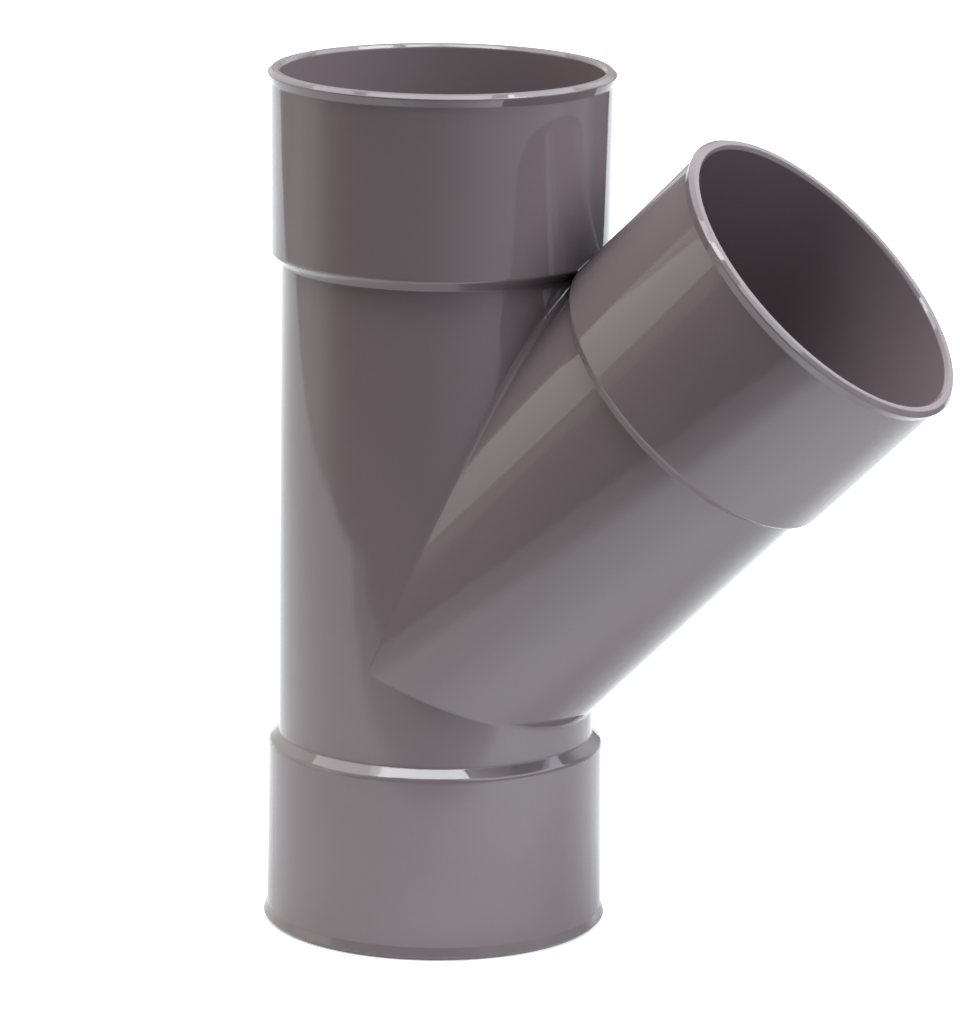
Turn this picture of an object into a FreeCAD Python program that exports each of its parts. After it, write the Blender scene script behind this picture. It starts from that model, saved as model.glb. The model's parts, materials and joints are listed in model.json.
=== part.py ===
import FreeCAD, Part
import math
import os
import Sketcher
from FreeCAD import Placement, Rotation, Vector

# A drainage wye moulded in one piece: a straight run and a branch that leaves it at a slant,
# with an equal glue socket on each of the three ends.
# Millimetres, with +Z up the run. The origin is the centre of the lower mouth's flat face,
# which is what the fitting stands on, and the branch leans toward +X.

NODE = "wye_body"

# The driving dimensions, in millimetres and degrees
SIZES = [
    ("branch_angle", 45.0, "angle between the run and the branch"),
    ("socket_bore", 110.2, "diameter inside each socket, a close slide on a 110 pipe"),
    ("socket_depth", 61.0, "how far a pipe goes in, from the mouth's face to the stop"),
    ("socket_wall", 3.1, "wall of a socket behind its lip"),
    ("socket_taper", 0.33, "how much smaller in radius a socket is at its shoulder than at its lip"),
    ("stop_back", 2.1, "length of the full socket outside, past the stop"),
    ("shoulder_step", 3.47, "step in radius from a socket down to the tube"),
    ("shoulder_slope", 45.0, "slope of the shoulder, measured from the axis"),
    ("shoulder_round", 1.6, "rounding of the shoulder's outer corner"),
    ("tube_wall", 3.2, "wall of the run and branch between the sockets"),
    ("crotch_to_stop", 7.3, "from the point where the tubes part to the stops above it"),
    ("heel_to_stop", 14.7, "from the point under the branch to the lower stop"),
    ("crotch_round", 2.0, "rounding of the crease above, where the two tubes part"),
    ("heel_round", 2.0, "rounding of the crease below, where the branch grows out of the run"),
    ("lip_stand", 1.2, "how far the lip stands proud of the socket wall"),
    ("lip_bevel", 1.4, "bevel from the lip's crest to the mouth's face"),
    ("lip_runout", 3.0, "length over which the lip runs out to the wall"),
    ("entry_flare", 0.9, "how much wider the bore is at the mouth's face"),
    ("entry_length", 1.2, "length of that flare along the axis"),
]

# Radii, worked out from the socket inward
BORE = "sizes.socket_bore / 2"
SOCKET = f"({BORE} + sizes.socket_wall)"
LIP = f"({SOCKET} + sizes.lip_stand)"
SHOULDER = f"({SOCKET} - sizes.socket_taper)"
TUBE = f"({SHOULDER} - sizes.shoulder_step)"
WATERWAY = f"({TUBE} - sizes.tube_wall)"

# Distances from the crossing of the two axes to the pipe stops
UPPER_STOP = f"({TUBE} / tan(sizes.branch_angle * 0.5deg) + sizes.crotch_to_stop)"
LOWER_STOP = f"({TUBE} * tan(sizes.branch_angle * 0.5deg) + sizes.heel_to_stop)"

# Height of the crossing of the axes above the lower mouth's face
CROSSING = f"({LOWER_STOP} + sizes.socket_depth)"


class Corner:
    """A corner of an outline, with its place and rounding as expressions on the sheet."""

    def __init__(self, name, across, along, rounding=None):
        self.name = name
        self.across = across
        self.along = along
        self.rounding = rounding


class Arm:
    """One of the three ways out of the crossing, drawn beside the run's axis or the branch's."""

    def __init__(self, name, turn, side, sense, stop):
        self.name = name
        self.turn = turn
        self.side = side
        self.sense = sense
        self.stop = stop
        self.mouth = f"({stop} + sizes.socket_depth)"

    def corner(self, name, across, outward, rounding=None):
        """A corner placed by its distance from the axis and its distance out from the crossing."""
        return Corner(name, f"{self.side}({across})", f"{self.sense}({outward})", rounding)


# The lower arm goes the other way along the same axis as the upper one. Both are drawn on the
# side away from the branch, so that the start of their turn stays clear of the creases.
ARMS = [
    Arm("lower", "0", "-", "-", LOWER_STOP),
    Arm("upper", "0", "-", "", UPPER_STOP),
    Arm("branch", "sizes.branch_angle", "", "", UPPER_STOP),
]


def make_sheet(doc):
    """The spreadsheet that holds every driving dimension under its own name."""
    sheet = doc.addObject("Spreadsheet::Sheet", "sizes")
    for row, (alias, value, meaning) in enumerate(SIZES, start=1):
        sheet.set(f"A{row}", alias)
        sheet.set(f"B{row}", str(value))
        sheet.setAlias(f"B{row}", alias)
        sheet.set(f"C{row}", meaning)
    doc.recompute()
    return sheet


def number(owner, expression):
    """The value that an expression on the sheet has now."""
    value = owner.evalExpression(expression)
    return float(getattr(value, "Value", value))


def origin_feature(body, role):
    """One of the body's own planes or axes."""
    return next(item for item in body.Origin.OriginFeatures if item.Role == role)


def arm_sketch(body, name, turn):
    """A sketch in the plane of the two axes, its origin at their crossing and its Y along an axis."""
    sketch = body.newObject("Sketcher::SketchObject", name)
    sketch.AttachmentSupport = [(origin_feature(body, "XZ_Plane"), "")]
    sketch.MapMode = "FlatFace"
    sketch.AttachmentOffset = Placement(Vector(0, 0, 0), Rotation(Vector(0, 0, -1), 1))
    sketch.setExpression("AttachmentOffset.Base.y", CROSSING)
    sketch.setExpression("AttachmentOffset.Rotation.Angle", turn)
    return sketch


def tangent_arc(corner, before, after, radius):
    """The arc that rounds a corner, with the points where it leaves the two sides."""
    to_before = (before - corner).normalize()
    to_after = (after - corner).normalize()
    half = to_before.getAngle(to_after) / 2
    leave = corner + to_before * (radius / math.tan(half))
    join = corner + to_after * (radius / math.tan(half))
    centre = corner + (to_before + to_after).normalize() * (radius / math.sin(half))
    start = math.atan2(leave.y - centre.y, leave.x - centre.x)
    end = math.atan2(join.y - centre.y, join.x - centre.x)
    turns_left = to_before.cross(to_after).z < 0
    if not turns_left:
        start, end = end, start
    arc = Part.ArcOfCircle(Part.Circle(centre, Vector(0, 0, 1), radius), start, end)
    return arc, leave, join, turns_left


def hold_point(sketch, geometry, vertex, corner):
    """Ties a point of the sketch to a corner's place on the sheet."""
    ties = [("DistanceX", corner.across, "across"), ("DistanceY", corner.along, "along")]
    for kind, expression, axis in ties:
        value = number(sketch, expression)
        index = sketch.addConstraint(Sketcher.Constraint(kind, -1, 1, geometry, vertex, value))
        label = f"{corner.name}_{axis}"
        sketch.renameConstraint(index, label)
        sketch.setExpression(f"Constraints.{label}", expression)


def draw_outline(sketch, corners):
    """Draws a closed outline through the corners, with a tangent arc at each rounded one."""
    places = [Vector(number(sketch, c.across), number(sketch, c.along), 0) for c in corners]
    count = len(corners)
    starts = list(places)
    ends = list(places)
    arcs = {}
    for i, corner in enumerate(corners):
        if corner.rounding:
            radius = number(sketch, corner.rounding)
            after = places[(i + 1) % count]
            arc, leave, join, turns_left = tangent_arc(places[i], places[i - 1], after, radius)
            arcs[i] = (arc, radius, turns_left)
            ends[i] = leave
            starts[i] = join
    sides = [Part.LineSegment(starts[i], ends[(i + 1) % count]) for i in range(count)]
    lines = [sketch.addGeometry(side, False) for side in sides]
    for i, corner in enumerate(corners):
        side_before = lines[i - 1]
        side_after = lines[i]
        if i not in arcs:
            sketch.addConstraint(Sketcher.Constraint("Coincident", side_before, 2, side_after, 1))
            hold_point(sketch, side_after, 1, corner)
            continue
        arc, radius, turns_left = arcs[i]
        arc_index = sketch.addGeometry(arc, False)
        first, last = (1, 2) if turns_left else (2, 1)
        sketch.addConstraint(Sketcher.Constraint("Tangent", side_before, 2, arc_index, first))
        sketch.addConstraint(Sketcher.Constraint("Tangent", arc_index, last, side_after, 1))
        point = sketch.addGeometry(Part.Point(places[i]), True)
        sketch.addConstraint(Sketcher.Constraint("PointOnObject", point, 1, side_before))
        sketch.addConstraint(Sketcher.Constraint("PointOnObject", point, 1, side_after))
        hold_point(sketch, point, 1, corner)
        index = sketch.addConstraint(Sketcher.Constraint("Radius", arc_index, radius))
        sketch.renameConstraint(index, f"{corner.name}_rounding")
        sketch.setExpression(f"Constraints.{corner.name}_rounding", corner.rounding)


def turn_about_arm(body, kind, name, sketch):
    """Adds or cuts the full turn of an outline about its own arm's axis."""
    feature = body.newObject(kind, name)
    feature.Profile = sketch
    feature.ReferenceAxis = (sketch, ["V_Axis"])
    feature.Angle = 360.0
    feature.Refine = True
    body.Document.recompute()
    return feature


def add_core(body, arm):
    """The solid core of an arm's tube, from the crossing to past its stop."""
    sketch = arm_sketch(body, f"{arm.name}_core_outline", arm.turn)
    far = f"{arm.stop} + sizes.socket_depth / 2"
    corners = [
        arm.corner("near_axis", "0", "0"),
        arm.corner("near_wall", TUBE, "0"),
        arm.corner("far_wall", TUBE, far),
        arm.corner("far_axis", "0", far),
    ]
    draw_outline(sketch, corners)
    return turn_about_arm(body, "PartDesign::Revolution", f"{arm.name}_core", sketch)


def cut_waterway(body, arm):
    """The way through an arm's tube, whose end is the pipe stop."""
    sketch = arm_sketch(body, f"{arm.name}_waterway_outline", arm.turn)
    corners = [
        arm.corner("near_axis", "0", "0"),
        arm.corner("near_wall", WATERWAY, "0"),
        arm.corner("stop_edge", WATERWAY, arm.stop),
        arm.corner("stop_corner", BORE, arm.stop),
        arm.corner("mouth_corner", BORE, arm.mouth),
        arm.corner("mouth_axis", "0", arm.mouth),
    ]
    draw_outline(sketch, corners)
    before = body.Tip.Shape.Volume
    groove = turn_about_arm(body, "PartDesign::Groove", f"{arm.name}_waterway", sketch)
    if groove.Shape.Volume >= before:
        raise RuntimeError(f"{groove.Name} removed nothing")
    return groove


def add_socket(body, arm):
    """A socket round the end of its tube: shoulder, slightly tapered wall, lip, flare and bore."""
    sketch = arm_sketch(body, f"{arm.name}_socket_outline", arm.turn)
    shoulder = f"({arm.stop} - sizes.stop_back)"
    root = f"{shoulder} - sizes.shoulder_step / tan(sizes.shoulder_slope * 1deg)"
    crest = f"{arm.mouth} - sizes.lip_bevel"
    middle_of_wall = f"({TUBE} - sizes.tube_wall / 2)"
    corners = [
        arm.corner("root_inside", middle_of_wall, root),
        arm.corner("root", TUBE, root),
        arm.corner("shoulder", SHOULDER, shoulder, "sizes.shoulder_round"),
        arm.corner("lip_root", SOCKET, f"{crest} - sizes.lip_runout"),
        arm.corner("lip_crest", LIP, crest),
        arm.corner("face_edge", f"{LIP} - sizes.lip_bevel", arm.mouth),
        arm.corner("entry_edge", f"{BORE} + sizes.entry_flare", arm.mouth),
        arm.corner("entry_end", BORE, f"{arm.mouth} - sizes.entry_length"),
        arm.corner("stop_corner", BORE, arm.stop),
        arm.corner("stop_inside", middle_of_wall, arm.stop),
    ]
    draw_outline(sketch, corners)
    return turn_about_arm(body, "PartDesign::Revolution", f"{arm.name}_socket", sketch)


def meeting_edges(body, feature, radius, above):
    """The edges where the run's round wall meets the branch's, above or below their crossing."""
    crossing = Vector(0, 0, number(body, CROSSING))
    lean = math.radians(number(body, "sizes.branch_angle"))
    branch_axis = Vector(math.sin(lean), 0, math.cos(lean))
    run_axis = Vector(0, 0, 1)
    close = 0.005
    names = []
    for index, edge in enumerate(feature.Shape.Edges, start=1):
        middle = edge.valueAt((edge.FirstParameter + edge.LastParameter) / 2) - crossing
        off_run = abs(middle.cross(run_axis).Length - radius)
        off_branch = abs(middle.cross(branch_axis).Length - radius)
        if off_run < close and off_branch < close and (middle.z > 0) == above:
            names.append(f"Edge{index}")
    return names


def round_meeting(body, name, above, rounding):
    """Rounds the line outside where the run and the branch meet."""
    base = body.Tip
    edges = meeting_edges(body, base, number(body, TUBE), above)
    fillet = body.newObject("PartDesign::Fillet", name)
    fillet.Base = (base, edges)
    fillet.Radius = number(body, rounding)
    fillet.setExpression("Radius", rounding)
    body.Document.recompute()
    return fillet


def make_wye(doc):
    """The whole fitting, one solid."""
    body = doc.addObject("PartDesign::Body", NODE)
    body.Label = NODE
    for arm in ARMS:
        add_core(body, arm)
    for arm in ARMS:
        cut_waterway(body, arm)
    round_meeting(body, "crotch_crease", True, "sizes.crotch_round")
    for arm in ARMS:
        add_socket(body, arm)
    round_meeting(body, "heel_crease", False, "sizes.heel_round")
    body.Placement = Placement()
    return body


def check(doc, bodies):
    """Stops with a plain message if anything in the document failed."""
    for item in doc.Objects:
        if "Invalid" in item.State or "Error" in item.State:
            raise RuntimeError(f"{item.Name} failed: {item.State}")
    for body in bodies:
        shape = body.Shape
        if shape.isNull() or not shape.isValid() or len(shape.Solids) != 1:
            raise RuntimeError(f"{body.Label} is not one valid solid")


doc = FreeCAD.newDocument("lateral_wye")
make_sheet(doc)
bodies = [make_wye(doc)]
doc.recompute()
check(doc, bodies)

os.makedirs("parts", exist_ok=True)
for body in bodies:
    body.Shape.exportStep(os.path.join("parts", f"{body.Label}.step"))
    print(f"{body.Label}: {body.Shape.Volume / 1000:.1f} cm3, {len(body.Shape.Faces)} faces")
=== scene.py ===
import json
import math

import bmesh
import bpy
from mathutils import Matrix, Vector

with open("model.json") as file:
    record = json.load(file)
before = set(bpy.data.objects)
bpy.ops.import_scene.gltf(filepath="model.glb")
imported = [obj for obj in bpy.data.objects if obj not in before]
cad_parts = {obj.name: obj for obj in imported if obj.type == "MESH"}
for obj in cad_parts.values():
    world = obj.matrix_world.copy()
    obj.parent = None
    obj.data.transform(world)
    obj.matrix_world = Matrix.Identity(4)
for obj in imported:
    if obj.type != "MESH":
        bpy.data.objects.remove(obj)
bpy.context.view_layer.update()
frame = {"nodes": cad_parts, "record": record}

# The fitting's own places and sizes, read from the frame, in metres
MOUNTS = {mount["name"]: mount for mount in frame["record"]["mounts"]}
BRANCH_MOUTH = Vector(MOUNTS["branch_socket"]["pos_m"])
BRANCH_AXIS = Vector(MOUNTS["branch_socket"]["axis"]).normalized()
CROSSING = BRANCH_MOUTH - BRANCH_AXIS * (BRANCH_MOUTH.x / BRANCH_AXIS.x)

# The camera: angles in degrees, distances in metres
CAMERA_AZIMUTH = 24.831
CAMERA_ELEVATION = 12.878
CAMERA_ROLL = 0.711
CAMERA_DISTANCE = 2.10448
AIM_TO_THE_RIGHT = 0.014546
AIM_ABOVE_CROSSING = 0.047863
SEEN_AS_FAR_AS = 20.0

# Its lens: the picture and the focal length in pixels, the sensor in Blender's millimetres
PICTURE_HEIGHT = 1010
FOCAL_LENGTH_IN_PIXELS = 6105.4
SENSOR_HEIGHT = 36.0

# Level directions on the table: toward the camera, and to its right
CAMERA_TURN = math.radians(CAMERA_AZIMUTH)
TOWARD_CAMERA = Vector((math.sin(CAMERA_TURN), -math.cos(CAMERA_TURN), 0))
TO_THE_RIGHT = Vector((-TOWARD_CAMERA.y, TOWARD_CAMERA.x, 0))

# Warm grey rigid vinyl: its colour, and how much of it the faint clouds and the grain add
VINYL_GREY = (0.181, 0.136, 0.144)
PLAIN_TONE = 0.94
CLOUD_TONE = 0.07
GRAIN_TONE = 0.05
CLOUDS_PER_METRE = 22.0
CLOUD_DETAIL = 3.0
GRAINS_PER_METRE = 700.0
FINE_DETAIL = 2.0

# The gloss of the vinyl, with the fine orange peel that moulding leaves
VINYL_ROUGHNESS = 0.045
CLOUD_ROUGHNESS = 0.025
VINYL_INDEX = 1.53
PEEL_PER_METRE = 260.0
PEEL_STRENGTH = 0.06
PEEL_HEIGHT = 0.0002

# Corners look this round, in metres
CORNER_ROUNDING = 0.0008
SURROUNDINGS_SAMPLES = 8

# Painted shade in narrow creases, where the grey is darkened: how far round it looks, how
# sharply, and the least share left
CREASE_SHADE_REACH = 0.030
CREASE_SHADE_CONTRAST = 1.6
CREASE_SHADE_SHIFT = 0.3
CREASE_SHADE_DEEPEST = 0.35

# The studio's table top: its corners, toward the camera and to its right, in metres
TABLE_CORNERS = [
    (0.40, 0.38),
    (0.40, -0.50),
    (0.10, -0.74),
    (-3.00, -1.70),
    (-3.00, 1.15),
    (-0.50, 0.67),
    (-0.40, 0.38),
]
TABLE_WHITE = 0.77

# The table's glow: how bright the camera sees it, white like a backdrop, and the colour of the
# painted light that the fitting's gloss sees on it
GLOW_SEEN = 0.45
GLOW_COLOUR = (0.93, 1.0, 1.08)

# What the camera sees behind the fitting
WHITE = (1.0, 1.0, 1.0, 1.0)

# Painted pools of light, and a painted shadow, on the table, which only the fitting's gloss
# sees: toward the camera, to its right, how far each reaches and how bright it is
PAINTED_POOLS = [
    (0.03, -0.02, 0.40, 0.27),
    (0.22, 0.24, 0.33, 1.00),
    (0.09, 0.01, 0.11, 0.40),
    (-0.04, 0.14, 0.18, -0.60),
]

# The back of the table glows brighter, white to the camera and painted light in the fitting's
# gloss: where that begins and ends, and by how much
BACK_GLOW = (-0.45, -1.30, 0.65)

# Painted shade: the table's colour and its painted pools fade darker toward its front edge, as
# the light does, though the camera still sees it white: distance toward the camera, and the
# share left. Left of a point, the fade starts farther forward.
TABLE_FADE = [(0.24, 1.0), (0.29, 0.5), (0.36, 0.35), (0.39, 0.03)]
FADE_TURNS_LEFT_OF = 0.45
FADE_SLANT = 0.35

# How bright the studio is all round, by the direction in degrees from the camera to its right:
# its walls above the table's level and below it, its ceiling, and its floor beyond the table
WALLS = [
    (-180, 0.40),
    (-172, 0.60),
    (-163, 1.20),
    (-120, 1.20),
    (-104, 0.50),
    (-77, 0.42),
    (-69, 0.40),
    (-66, 0.03),
    (-10, 0.03),
    (12, 0.15),
    (28, 0.40),
    (45, 0.50),
    (66, 0.60),
    (84, 0.90),
    (94, 0.55),
    (124, 0.40),
    (134, 1.20),
    (148, 1.20),
    (162, 0.40),
    (180, 0.40),
]
LOW_WALLS = [
    (-180, 0.40),
    (-172, 0.45),
    (-163, 1.10),
    (-150, 1.00),
    (-137, 0.60),
    (-134, 0.45),
    (-124, 0.50),
    (-110, 0.80),
    (-94, 0.80),
    (-80, 0.25),
    (-67, 0.10),
    (-62, 0.03),
    (-10, 0.03),
    (12, 0.15),
    (28, 0.40),
    (45, 0.50),
    (66, 0.60),
    (84, 0.90),
    (94, 0.55),
    (112, 0.60),
    (124, 0.15),
    (150, 0.06),
    (170, 0.30),
    (180, 0.40),
]
CEILING = [
    (-180, 1.5),
    (-130, 1.7),
    (-110, 0.9),
    (-75, 0.9),
    (-55, 0.6),
    (-35, 0.1),
    (15, 0.0),
    (40, 0.8),
    (100, 0.9),
    (115, 0.4),
    (126, 0.3),
    (136, 2.0),
    (148, 2.0),
    (157, 1.3),
    (180, 1.5),
]
FAR_FLOOR = [
    (-180, 0.30),
    (-130, 0.60),
    (-115, 0.90),
    (-100, 0.80),
    (-84, 0.35),
    (-70, 0.05),
    (-10, 0.05),
    (15, 0.45),
    (37, 0.90),
    (60, 1.05),
    (80, 1.00),
    (95, 0.70),
    (120, 0.30),
    (180, 0.30),
]

# Where one of them turns into the next, by how far up a direction points, from -1 to 1
WALLS_TO_CEILING = (0.15, 0.65)
WALLS_TO_LOW_WALLS = (0.04, -0.08)
LOW_WALLS_TO_FLOOR = (-0.16, -0.24)

# The walls' tint, and how much cooler they get toward the camera's right
WALL_TINT = (0.96, 1.0, 1.01)
COOL_RIGHT = (-0.03, 0.0, 0.07)

# Level lamps overhead: their height, and for each from where to where it reaches toward the
# camera and to its right, and how bright it is
OVERHEAD_HEIGHT = 1.5
OVERHEAD_TINT = (0.93, 1.0, 1.01)
OVERHEAD_LAMPS = {
    "top_lamp": ((0.0, 0.28), (-0.76, 0.42), 4.6),
    "front_lamp": ((0.28, 0.50), (-0.76, 0.42), 10.6),
    "top_right_lamp": ((0.02, 0.50), (0.56, 0.96), 9.0),
    "top_left_lamp": ((-0.75, 0.40), (-1.60, -0.76), 2.7),
}

# Standing lamps, turned to a point above the table: direction, distance and height, width and
# tallness, brightness and tint
LAMPS_FACE_HEIGHT = 0.15
STANDING_LAMPS = {
    "right_lamp": (75, 1.3, 1.50, 2.6, 1.4, 2.8, (0.86, 1.0, 1.07)),
    "left_lamp": (-90, 1.5, 0.50, 0.92, 0.6, 0.85, (0.97, 1.0, 0.98)),
}


class Value:
    """A shader socket that takes part in arithmetic, adding the Math nodes that it needs."""

    def __init__(self, tree, socket):
        self.tree = tree
        self.socket = socket

    def math(self, operation, *others):
        """A Math node of this value and the others."""
        inputs = dict(enumerate((self, *others)))
        return self.tree.add("ShaderNodeMath", {"operation": operation}, inputs)

    def __add__(self, other):
        return self.math("ADD", other)

    __radd__ = __add__

    def __mul__(self, other):
        return self.math("MULTIPLY", other)

    __rmul__ = __mul__

    def __sub__(self, other):
        return self.math("SUBTRACT", other)

    def __rsub__(self, other):
        return self * -1 + other

    def clamped(self):
        """The value held between nothing and one."""
        return self.tree.add("ShaderNodeClamp", {}, {"Value": self})


class Shader:
    """The node tree of one material or of the world, empty but for what is added to it."""

    def __init__(self, node_tree):
        self.nodes = node_tree.nodes
        self.links = node_tree.links
        self.nodes.clear()

    def add(self, kind, settings, inputs, output=0):
        """Adds one node with its settings and the values or links of its sockets."""
        node = self.nodes.new(kind)
        for name, setting in settings.items():
            if name == "stops":
                self.set_stops(node.color_ramp, setting)
            else:
                setattr(node, name, setting)
        for name, value in inputs.items():
            if isinstance(value, Value):
                self.links.new(value.socket, node.inputs[name])
            else:
                node.inputs[name].default_value = value
        return Value(self, node.outputs[output]) if len(node.outputs) else None

    def set_stops(self, ramp, stops):
        """Places a ramp's stops: position and colour of each."""
        while len(ramp.elements) < len(stops):
            ramp.elements.new(1.0)
        for element, (position, colour) in zip(ramp.elements, stops):
            element.position = position
            element.color = colour

    def noise(self, place, per_metre, detail):
        """A cloudy pattern, with so many clouds in a metre."""
        inputs = {"Vector": place, "Scale": per_metre, "Detail": detail}
        return self.add("ShaderNodeTexNoise", {}, inputs)

    def light_path(self, kind):
        """Whether the ray is of one kind, such as one that comes from the camera."""
        return self.add("ShaderNodeLightPath", {}, {}, output=kind)

    def along(self, place, direction):
        """How far a place lies along a direction."""
        settings = {"operation": "DOT_PRODUCT"}
        return self.add("ShaderNodeVectorMath", settings, {0: place, 1: direction}, output="Value")

    def smooth_step(self, value, begins, ends, reaches=1.0):
        """Goes smoothly from nothing to what it reaches, between two values."""
        inputs = {"Value": value, "From Min": begins, "From Max": ends, "To Max": reaches}
        return self.add("ShaderNodeMapRange", {"interpolation_type": "SMOOTHSTEP"}, inputs)

    def mix(self, share, first, second):
        """A colour between two colours."""
        inputs = {"Factor": share, "A": first, "B": second}
        return self.add("ShaderNodeMix", {"data_type": "RGBA"}, inputs, output=2)


def new_material(name):
    """A material with an empty tree."""
    material = bpy.data.materials.new(name)
    material.use_nodes = True
    return material, Shader(material.node_tree)


def grey_vinyl():
    """Rigid moulded vinyl: warm grey, glossy, faintly cloudy, fine orange peel, painted crease
    shade.
    """
    material, shader = new_material("grey_vinyl")
    place = shader.add("ShaderNodeTexCoord", {}, {}, output="Object")
    clouds = shader.noise(place, CLOUDS_PER_METRE, CLOUD_DETAIL)
    grain = shader.noise(place, GRAINS_PER_METRE, FINE_DETAIL)
    # Painted shade: the grey is darkened where nearby surfaces close a point in, as in the crotch
    crease = shader.add(
        "ShaderNodeAmbientOcclusion",
        {"samples": SURROUNDINGS_SAMPLES, "only_local": True},
        {"Distance": CREASE_SHADE_REACH},
        output="AO",
    )
    open_share = (crease * CREASE_SHADE_CONTRAST - CREASE_SHADE_SHIFT).clamped()
    painted_crease_shade = open_share * (1 - CREASE_SHADE_DEEPEST) + CREASE_SHADE_DEEPEST
    tone_and_painted_shade = (PLAIN_TONE + clouds * CLOUD_TONE + grain * GRAIN_TONE) * painted_crease_shade
    colour = shader.add(
        "ShaderNodeMix",
        {"data_type": "RGBA", "blend_type": "MULTIPLY"},
        {"Factor": 1.0, "A": (*VINYL_GREY, 1.0), "B": tone_and_painted_shade},
        output=2,
    )
    peel = shader.noise(place, PEEL_PER_METRE, FINE_DETAIL)
    softened = shader.add(
        "ShaderNodeBevel",
        {"samples": SURROUNDINGS_SAMPLES},
        {"Radius": CORNER_ROUNDING},
    )
    normal = shader.add(
        "ShaderNodeBump",
        {},
        {
            "Strength": PEEL_STRENGTH,
            "Distance": PEEL_HEIGHT,
            "Height": peel,
            "Normal": softened,
        },
    )
    roughness = VINYL_ROUGHNESS + clouds * CLOUD_ROUGHNESS
    surface = shader.add(
        "ShaderNodeBsdfPrincipled",
        {},
        {"Base Color": colour, "Roughness": roughness, "IOR": VINYL_INDEX, "Normal": normal},
    )
    shader.add("ShaderNodeOutputMaterial", {}, {"Surface": surface})
    return material


def direction_from_camera(angle):
    """A level direction, counted in degrees from the camera's side toward its right."""
    turn = math.radians(angle)
    return TOWARD_CAMERA * math.cos(turn) + TO_THE_RIGHT * math.sin(turn)


def lamp(name, width, depth, radiance, place, turn, colour):
    """A flat soft lamp, as bright as a surface of the given radiance."""
    data = bpy.data.lights.new(name, "AREA")
    data.shape = "RECTANGLE"
    data.size = width
    data.size_y = depth
    data.energy = radiance * math.pi * width * depth
    data.color = colour
    light = bpy.data.objects.new(name, data)
    light.rotation_mode = "QUATERNION"
    light.rotation_quaternion = turn
    light.location = place
    light.visible_camera = False
    bpy.context.scene.collection.objects.link(light)


def standing_lamp(name, angle, distance, height, width, tall, radiance, colour):
    """A lamp that stands to one side and faces the middle of the fitting."""
    place = direction_from_camera(angle) * distance + Vector((0, 0, height))
    facing = place - Vector((0, 0, LAMPS_FACE_HEIGHT))
    lamp(name, width, tall, radiance, place, facing.to_track_quat("Z", "Y"), colour)


def overhead_lamp(name, toward, right, radiance):
    """A level lamp overhead, between two distances toward the camera and two to its right."""
    middle = TOWARD_CAMERA * (sum(toward) / 2) + TO_THE_RIGHT * (sum(right) / 2)
    place = middle + Vector((0, 0, OVERHEAD_HEIGHT))
    turn = Matrix((TO_THE_RIGHT, -TOWARD_CAMERA, Vector((0, 0, 1)))).transposed().to_quaternion()
    lamp(name, right[1] - right[0], toward[1] - toward[0], radiance, place, turn, OVERHEAD_TINT)


def table_material():
    """Pale matt table top, seen nearly white, shadow kept, with painted light and shade in its
    gloss.
    """
    material, shader = new_material("pale_table")
    seen = shader.light_path("Is Camera Ray")
    mirrored = shader.light_path("Is Glossy Ray")
    place = shader.add("ShaderNodeTexCoord", {}, {}, output="Object")
    toward = shader.along(place, TOWARD_CAMERA)
    right = shader.along(place, TO_THE_RIGHT)
    left_of_turn = (right + FADE_TURNS_LEFT_OF).math("MINIMUM", 0.0)
    front = toward + left_of_turn * FADE_SLANT
    shares = [(forward, (share, share, share, 1.0)) for forward, share in TABLE_FADE]
    # Painted shade: the table's colour dims toward its front edge, except to the camera
    fade = shader.add("ShaderNodeValToRGB", {"stops": shares}, {"Fac": front})
    white = fade.math("MAXIMUM", seen) * TABLE_WHITE
    matt = shader.add("ShaderNodeBsdfDiffuse", {}, {"Color": white})
    # Painted light and shade on the table: pools of glow that only the fitting's gloss sees
    painted_pools_sum = 0.0
    for pool_toward, pool_right, reach, bright in PAINTED_POOLS:
        middle = TOWARD_CAMERA * pool_toward + TO_THE_RIGHT * pool_right
        away = shader.add(
            "ShaderNodeVectorMath",
            {"operation": "DISTANCE"},
            {0: place, 1: middle},
            output="Value",
        )
        painted_pools_sum = painted_pools_sum + shader.smooth_step(away, reach, 0.0, bright)
    backward = shader.smooth_step(toward, *BACK_GLOW)
    seen_glow = seen * (backward + GLOW_SEEN)
    # Painted light: the glow that the fitting's gloss sees on the table
    painted_glow_in_gloss = mirrored * (fade * painted_pools_sum.math("MAXIMUM", 0.0) + backward)
    colour = shader.mix(seen, (*GLOW_COLOUR, 1.0), WHITE)
    glow = {"Color": colour, "Strength": seen_glow + painted_glow_in_gloss}
    lit = shader.add("ShaderNodeEmission", {}, glow)
    surface = shader.add("ShaderNodeAddShader", {}, {0: matt, 1: lit})
    shader.add("ShaderNodeOutputMaterial", {}, {"Surface": surface})
    return material


def lay_table():
    """A pale table top under the fitting, which ends a short way in front of it."""
    mesh = bmesh.new()
    corners = []
    for toward, right in TABLE_CORNERS:
        corners.append(mesh.verts.new(TOWARD_CAMERA * toward + TO_THE_RIGHT * right))
    for corner, following in zip(corners, corners[1:] + corners[:1]):
        mesh.edges.new((corner, following))
    bmesh.ops.contextual_create(mesh, geom=mesh.edges[:])
    bmesh.ops.recalc_face_normals(mesh, faces=mesh.faces[:])
    data = bpy.data.meshes.new("table")
    mesh.to_mesh(data)
    mesh.free()
    table = bpy.data.objects.new("table", data)
    table.data.materials.append(table_material())
    bpy.context.scene.collection.objects.link(table)


def round_about(shader, turn, levels):
    """The brightness in each direction round the fitting, where turn is 0.5 toward the camera."""
    stops = []
    for angle, level in levels:
        side = math.sin(math.radians(angle))
        colour = [level * (plain + cool * side) for plain, cool in zip(WALL_TINT, COOL_RIGHT)]
        stops.append((0.5 + angle / 360, (*colour, 1.0)))
    return shader.add("ShaderNodeValToRGB", {"stops": stops}, {"Fac": turn})


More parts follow.
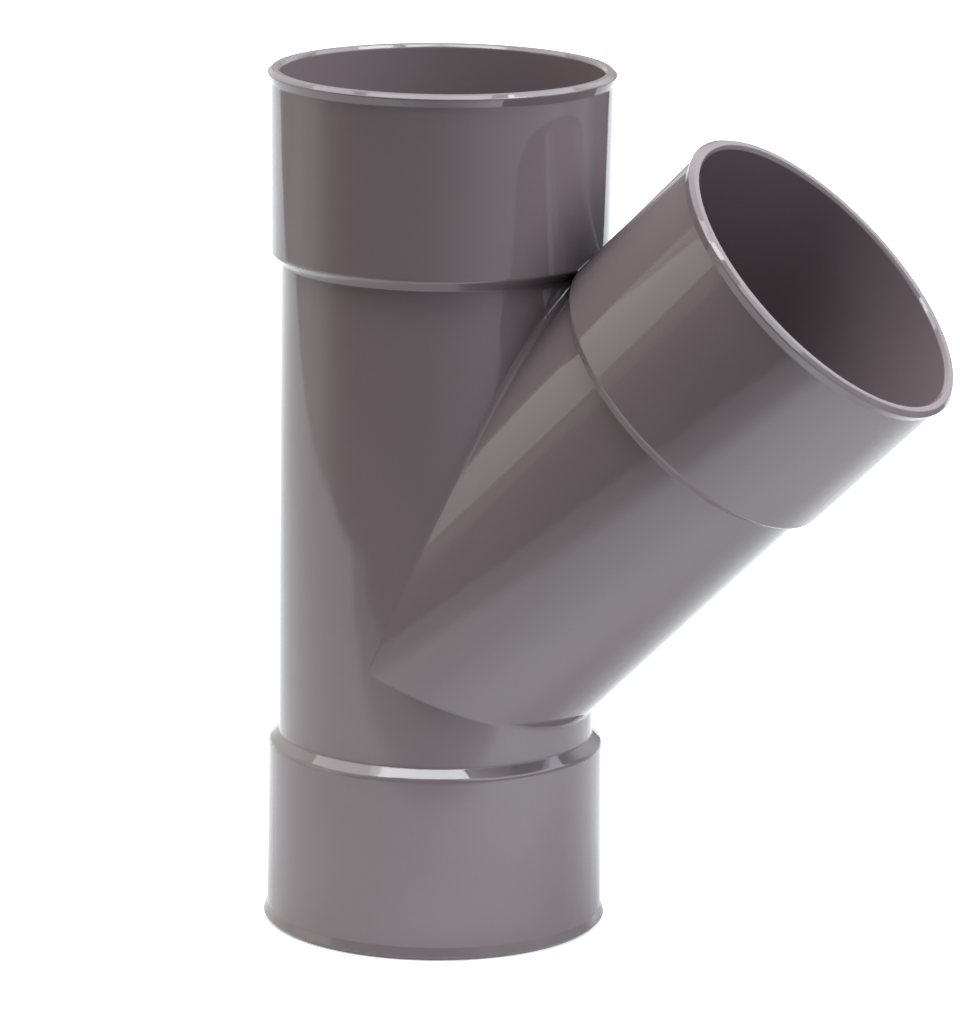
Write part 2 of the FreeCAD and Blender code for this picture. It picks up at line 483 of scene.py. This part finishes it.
def set_world():
    """A white backdrop for the camera, with walls all round that light the fitting softly."""
    world = bpy.data.worlds.new("studio")
    world.use_nodes = True
    bpy.context.scene.world = world
    shader = Shader(world.node_tree)
    seen = shader.light_path("Is Camera Ray")
    way = shader.add("ShaderNodeTexCoord", {}, {}, output="Generated")
    toward = shader.along(way, TOWARD_CAMERA)
    right = shader.along(way, TO_THE_RIGHT)
    up = shader.along(way, (0.0, 0.0, 1.0))
    turn = right.math("ARCTAN2", toward) * (0.5 / math.pi) + 0.5
    level = round_about(shader, turn, WALLS)
    for bounds, levels in (
        (WALLS_TO_CEILING, CEILING),
        (WALLS_TO_LOW_WALLS, LOW_WALLS),
        (LOW_WALLS_TO_FLOOR, FAR_FLOOR),
    ):
        share = shader.smooth_step(up, *bounds)
        level = shader.mix(share, level, round_about(shader, turn, levels))
    lit = shader.add("ShaderNodeBackground", {}, {"Color": level, "Strength": 1.0})
    white = shader.add("ShaderNodeBackground", {}, {"Color": WHITE, "Strength": 1.0})
    surface = shader.add("ShaderNodeMixShader", {}, {0: seen, 1: lit, 2: white})
    shader.add("ShaderNodeOutputWorld", {}, {"Surface": surface})


def light_the_studio():
    """Soft lamps over the fitting and to both sides of it."""
    for name, lamp_values in OVERHEAD_LAMPS.items():
        overhead_lamp(name, *lamp_values)
    for name, lamp_values in STANDING_LAMPS.items():
        standing_lamp(name, *lamp_values)


def place_camera():
    """Puts the camera at the studio's viewing angle and makes it the scene's camera."""
    elevation = math.radians(CAMERA_ELEVATION)
    back = TOWARD_CAMERA * math.cos(elevation) + Vector((0, 0, math.sin(elevation)))
    up = back.cross(TO_THE_RIGHT)
    aim = CROSSING + TO_THE_RIGHT * AIM_TO_THE_RIGHT + Vector((0, 0, AIM_ABOVE_CROSSING))
    turn = Matrix.Rotation(math.radians(CAMERA_ROLL), 3, back)
    axes = Matrix((turn @ TO_THE_RIGHT, turn @ up, back)).transposed()
    data = bpy.data.cameras.new("studio_camera")
    data.sensor_fit = "VERTICAL"
    data.sensor_height = SENSOR_HEIGHT
    data.lens = FOCAL_LENGTH_IN_PIXELS * SENSOR_HEIGHT / PICTURE_HEIGHT
    data.clip_end = SEEN_AS_FAR_AS
    camera = bpy.data.objects.new("studio_camera", data)
    camera.matrix_world = Matrix.Translation(aim + back * CAMERA_DISTANCE) @ axes.to_4x4()
    bpy.context.scene.collection.objects.link(camera)
    bpy.context.scene.camera = camera


def finish_in(material, node):
    """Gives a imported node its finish."""
    piece = frame["nodes"][node]
    piece.data.materials.clear()
    piece.data.materials.append(material)


finish_in(grey_vinyl(), "wye_body")
set_world()
lay_table()
light_the_studio()
place_camera()

bpy.context.scene.view_settings.view_transform = "Standard"
